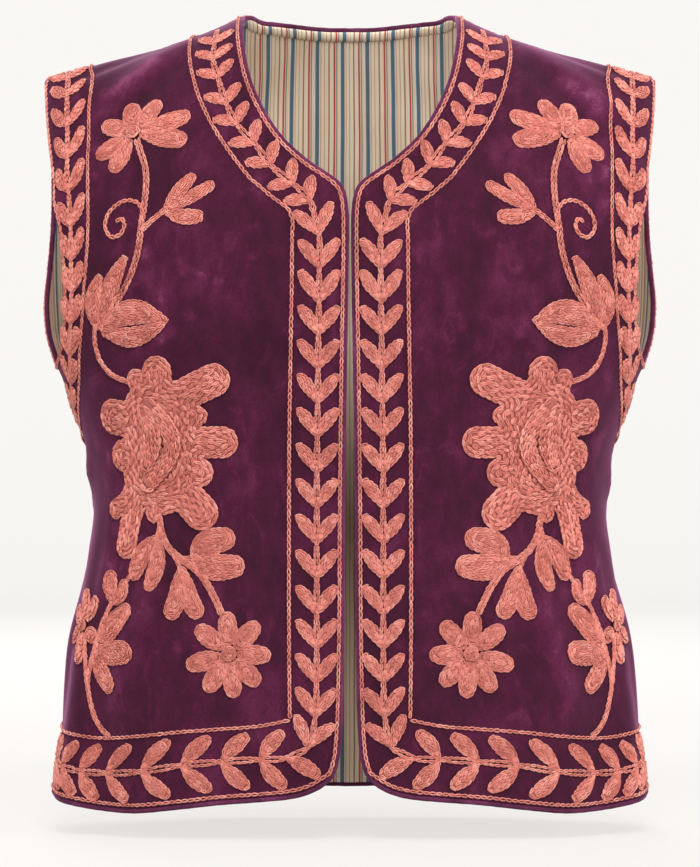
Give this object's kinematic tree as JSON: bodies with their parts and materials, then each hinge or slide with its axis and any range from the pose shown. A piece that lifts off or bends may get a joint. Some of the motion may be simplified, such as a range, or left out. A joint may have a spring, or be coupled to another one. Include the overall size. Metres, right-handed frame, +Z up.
{
  "type": "embroidered waistcoat",
  "caption": "Sleeveless velvet waistcoat with a striped cotton lining, chain-stitch flower embroidery, rolled edges and rounded fronts that meet edge to edge.",
  "frame": {"origin": "midway between the wearer's shoulders, on the line of the shoulder seams", "axes": "+Z up, the front faces -Y, +X is the wearer's left"},
  "size_m": [0.4299, 0.2255, 0.5503],
  "materials": {
    "velvet": "plum cotton velvet",
    "lining": "striped cotton ticking",
    "rolled_edge": "plum cotton velvet, rolled"
  },
  "bodies": {
    "root": {"front_left": "velvet", "front_right": "velvet", "back": "velvet", "lining_front_left": "lining", "lining_front_right": "lining", "lining_back": "lining", "edge_neck_fronts_hem": "rolled_edge", "edge_armhole_left": "rolled_edge", "edge_armhole_right": "rolled_edge"}
  },
  "joints": []
}
